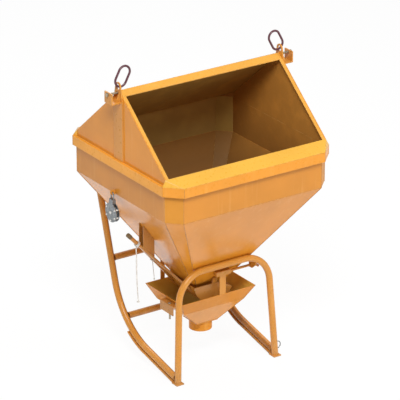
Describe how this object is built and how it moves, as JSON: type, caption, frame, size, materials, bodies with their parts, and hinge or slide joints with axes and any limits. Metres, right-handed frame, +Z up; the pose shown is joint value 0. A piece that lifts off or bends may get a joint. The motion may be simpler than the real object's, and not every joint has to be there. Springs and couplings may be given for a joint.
{
  "type": "concrete bucket",
  "caption": "Crane-slung concrete bucket: hooded box over a tapered hopper, lever-worked sector gate, funnel and spout, tube stand with rockers and oval lifting links",
  "frame": {"origin": "midpoint between the two lifting eyes, from which the bucket hangs", "axes": "+X to the right of the mouth, +Y from the mouth to the back, +Z up"},
  "size_m": [1.35, 1.2103, 2.0441],
  "materials": {
    "orange_paint": "satin paint",
    "orange_trim": "satin paint",
    "link_paint": "dark lacquer",
    "galvanised_steel": "zinc",
    "rope": "laid fibre",
    "grip": "matt"
  },
  "bodies": {
    "bucket": {"rim_ends": "orange_trim", "rim_sides": "orange_trim", "rim_corners": "orange_trim", "wall_front": "orange_paint", "wall_back": "orange_paint", "wall_left": "orange_paint", "wall_right": "orange_paint", "wall_corners": "orange_paint", "hopper_front": "orange_paint", "hopper_back": "orange_paint", "hopper_left": "orange_paint", "hopper_right": "orange_paint", "hopper_corners": "orange_paint", "outlet_neck": "orange_paint", "gables": "orange_paint", "roof_plate": "orange_paint", "ridge_fold": "orange_trim", "mouth_folds": "orange_trim", "sill_ledge": "orange_trim", "eave_ledge": "orange_trim", "ledge_corners": "orange_trim", "lugs": "orange_paint", "lug_brackets": "orange_paint", "lug_bolts": "galvanised_steel", "hoop": "orange_paint", "rockers": "orange_paint", "rocker_soles": "orange_paint", "upper_crossbar": "orange_paint", "lower_crossbar": "orange_paint", "foot_pads": "orange_paint", "lashing_eye": "galvanised_steel", "gate_pins": "galvanised_steel", "lever_guide": "orange_paint", "skirt_long": "orange_paint", "skirt_short": "orange_paint", "cone_long": "orange_paint", "cone_short": "orange_paint", "spout_flange": "orange_paint", "spout": "orange_paint", "front_hanger": "orange_paint", "rod_bracket": "orange_paint", "rear_hangers": "orange_paint", "pin_shelf": "orange_paint", "pulley_lug": "orange_paint"},
    "link_left": {"link_left": "link_paint"},
    "link_right": {"link_right": "link_paint"},
    "gate": {"gate_plate": "orange_paint", "gate_cheeks": "orange_paint", "lever_arms": "orange_paint", "lever_handle": "orange_paint", "lever_grip": "grip", "rope_ties": "rope"},
    "pull_rope": {"pull_rope": "rope"},
    "thin_cord": {"thin_cord": "rope"},
    "pulley": {"pulley_bow": "galvanised_steel", "pulley_frame": "galvanised_steel", "pulley_bolts": "galvanised_steel"},
    "sheave": {"sheave": "galvanised_steel"},
    "lock_rod": {"lock_rod": "orange_paint"},
    "drop_pin": {"drop_pin": "galvanised_steel"}
  },
  "joints": [
    {"name": "link_left_swing", "type": "hinge", "parent": "bucket", "child": "link_left", "pos_m": [-0.59, 0, 0], "axis": [0, 1, 0], "range_deg": [-68, 12]},
    {"name": "link_right_swing", "type": "hinge", "parent": "bucket", "child": "link_right", "pos_m": [0.59, 0, 0], "axis": [0, 1, 0], "range_deg": [-12, 68]},
    {"name": "gate_swing", "type": "hinge", "parent": "bucket", "child": "gate", "pos_m": [0, 0, -1.356], "axis": [0, -1, 0], "range_deg": [0, 30]},
    {"name": "pull_rope_hang", "type": "hinge", "parent": "gate", "child": "pull_rope", "pos_m": [-0.47298, 0, -1.07116], "axis": [0, -1, 0], "range_deg": [-30, 0]},
    {"name": "thin_cord_hang", "type": "hinge", "parent": "gate", "child": "thin_cord", "pos_m": [-0.32834, 0.03991, -1.2059], "axis": [0, -1, 0], "range_deg": [-30, 0]},
    {"name": "pulley_swing", "type": "hinge", "parent": "bucket", "child": "pulley", "pos_m": [-0.606, 0.055, -0.701], "axis": [0, 1, 0], "range_deg": [-20, 20]},
    {"name": "sheave_spin", "type": "hinge", "parent": "pulley", "child": "sheave", "pos_m": [-0.606, 0.055, -0.831], "axis": [1, 0, 0], "continuous": true},
    {"name": "lock_rod_slide", "type": "slide", "parent": "bucket", "child": "lock_rod", "axis": [1, 0, 0], "range_m": [0, 0.1]},
    {"name": "drop_pin_slide", "type": "slide", "parent": "bucket", "child": "drop_pin", "axis": [0, 0, 1], "range_m": [0, 0.04]}
  ],
  "couplings": [
    {"joint": "pull_rope_hang", "follows": "gate_swing", "ratio": -1},
    {"joint": "thin_cord_hang", "follows": "gate_swing", "ratio": -1}
  ]
}
